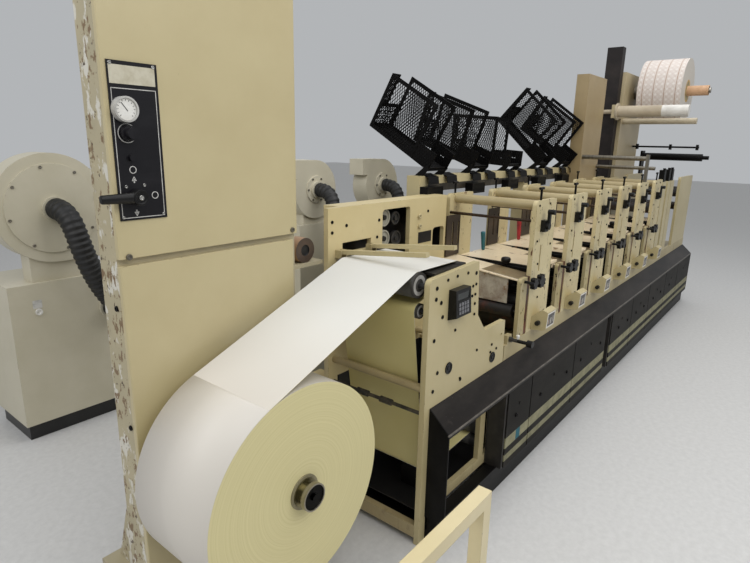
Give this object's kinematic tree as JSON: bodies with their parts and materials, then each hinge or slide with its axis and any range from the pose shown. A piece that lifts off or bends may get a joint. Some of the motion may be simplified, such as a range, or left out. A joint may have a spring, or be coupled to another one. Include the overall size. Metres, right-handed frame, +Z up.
{
  "type": "flexographic printing press",
  "caption": "Narrow web flexographic printing press with unwind stand, infeed, a row of print units on a long base, raised mesh guards, die section and rewind",
  "frame": {"origin": "on the floor on the web's centre line, under the middle of the first print unit", "axes": "X runs with the web from unwind to rewind, +Z is up, -Y is the operator side"},
  "size_m": [6.294, 3.068, 2.62],
  "materials": {
    "cream_paint": "cream paint, worn, with oil marks",
    "charcoal_paint": "dark charcoal paint, satin",
    "black_paint": "black paint",
    "bright_steel": "ground steel",
    "chrome_roller": "hard chrome, polished",
    "black_rubber": "black rubber, matte",
    "black_plastic": "black moulded plastic",
    "white_web": "coated label stock, satin",
    "tan_board": "tan board, stained",
    "black_mesh": "black coated mesh"
  },
  "bodies": {
    "press": {"base_frame": "cream_paint", "bay_pump": "charcoal_paint", "blower_stands": "cream_paint", "blowers": "cream_paint", "clamp_screws": "black_paint", "control_panel": "black_paint", "die_bars": "bright_steel", "die_pressure_heads": "black_paint", "die_rollers": "black_rubber", "drive_wheels": "black_plastic", "end_section_plates": "cream_paint", "fence_rail": "cream_paint", "gear_housing": "cream_paint", "guard_lugs": "black_paint", "indicator_boxes": "cream_paint", "infeed_operator_plate": "cream_paint", "infeed_rollers": "chrome_roller", "keypad_box": "black_paint", "large_blower_hose": "black_rubber", "ledge_folds": "charcoal_paint", "plinth": "charcoal_paint", "print_rollers": "black_rubber", "rear_beam": "cream_paint", "rewind_cabinet": "cream_paint", "rewind_dark_post": "charcoal_paint", "rewind_shafts": "black_paint", "rewind_tower": "cream_paint", "skirt_doors": "charcoal_paint", "slide_blocks": "cream_paint", "slotted_plates": "charcoal_paint", "small_blower_hose": "black_rubber", "spindle_bearings": "black_rubber", "splice_table": "charcoal_paint", "tape_roll": "tan_board", "tie_bars": "cream_paint", "tie_shafts": "bright_steel", "top_tubes": "cream_paint", "turn_bars": "bright_steel", "unit_blower_hose": "black_rubber", "unit_boards": "tan_board", "unit_handles": "black_plastic", "unit_plates": "cream_paint", "unwind_column": "cream_paint", "unwind_covers": "cream_paint", "waste_mandrels": "chrome_roller", "web": "white_web"},
    "unwind_reel": {"unwind_spindle": "bright_steel", "unwind_roll": "white_web"},
    "selector_lever": {"panel_lever": "bright_steel"},
    "front_clamp": {"splice_clamp_front": "cream_paint"},
    "rear_clamp": {"splice_clamp_rear": "cream_paint"},
    "register_shaft": {"register_knob": "bright_steel"},
    "rewind_reel": {"rewind_spindle": "bright_steel", "rewind_roll": "white_web"},
    "guard_body_1": {"guard_1": "black_mesh"},
    "guard_body_2": {"guard_2": "black_mesh"},
    "guard_body_3": {"guard_3": "black_mesh"},
    "guard_body_4": {"guard_4": "black_mesh"},
    "guard_body_5": {"guard_5": "black_mesh"}
  },
  "joints": [
    {"name": "unwind_spin", "type": "hinge", "parent": "press", "child": "unwind_reel", "pos_m": [-1.715, 0, 0.576], "axis": [0, 1, 0], "continuous": true},
    {"name": "panel_lever_turn", "type": "hinge", "parent": "press", "child": "selector_lever", "pos_m": [-1.97, 0.22, 1.525], "axis": [0, 1, 0], "range_deg": [0, 90]},
    {"name": "front_clamp_tilt", "type": "hinge", "parent": "press", "child": "front_clamp", "pos_m": [-1.062, 0.2305, 1.226], "axis": [1, 0, 0], "range_deg": [-70, 4]},
    {"name": "rear_clamp_tilt", "type": "hinge", "parent": "press", "child": "rear_clamp", "pos_m": [-0.852, 0.2305, 1.226], "axis": [1, 0, 0], "range_deg": [-70, 4]},
    {"name": "register_turn", "type": "hinge", "parent": "press", "child": "register_shaft", "pos_m": [-0.332, -0.3, 0.742], "axis": [0, 1, 0], "continuous": true},
    {"name": "rewind_spin", "type": "hinge", "parent": "press", "child": "rewind_reel", "pos_m": [3.485, 0, 2.24], "axis": [0, 1, 0], "continuous": true},
    {"name": "guard_swing_1", "type": "hinge", "parent": "press", "child": "guard_body_1", "pos_m": [-0.117, 0.3635, 1.565], "axis": [1, 0, 0], "range_deg": [-30, 150]},
    {"name": "guard_swing_2", "type": "hinge", "parent": "press", "child": "guard_body_2", "pos_m": [0.391, 0.3635, 1.565], "axis": [1, 0, 0], "range_deg": [-20, 160]},
    {"name": "guard_swing_3", "type": "hinge", "parent": "press", "child": "guard_body_3", "pos_m": [0.899, 0.3635, 1.565], "axis": [1, 0, 0], "range_deg": [-4, 176]},
    {"name": "guard_swing_4", "type": "hinge", "parent": "press", "child": "guard_body_4", "pos_m": [1.407, 0.3635, 1.565], "axis": [1, 0, 0], "range_deg": [-43, 137]},
    {"name": "guard_swing_5", "type": "hinge", "parent": "press", "child": "guard_body_5", "pos_m": [1.915, 0.3635, 1.565], "axis": [1, 0, 0], "range_deg": [-36, 144]}
  ]
}
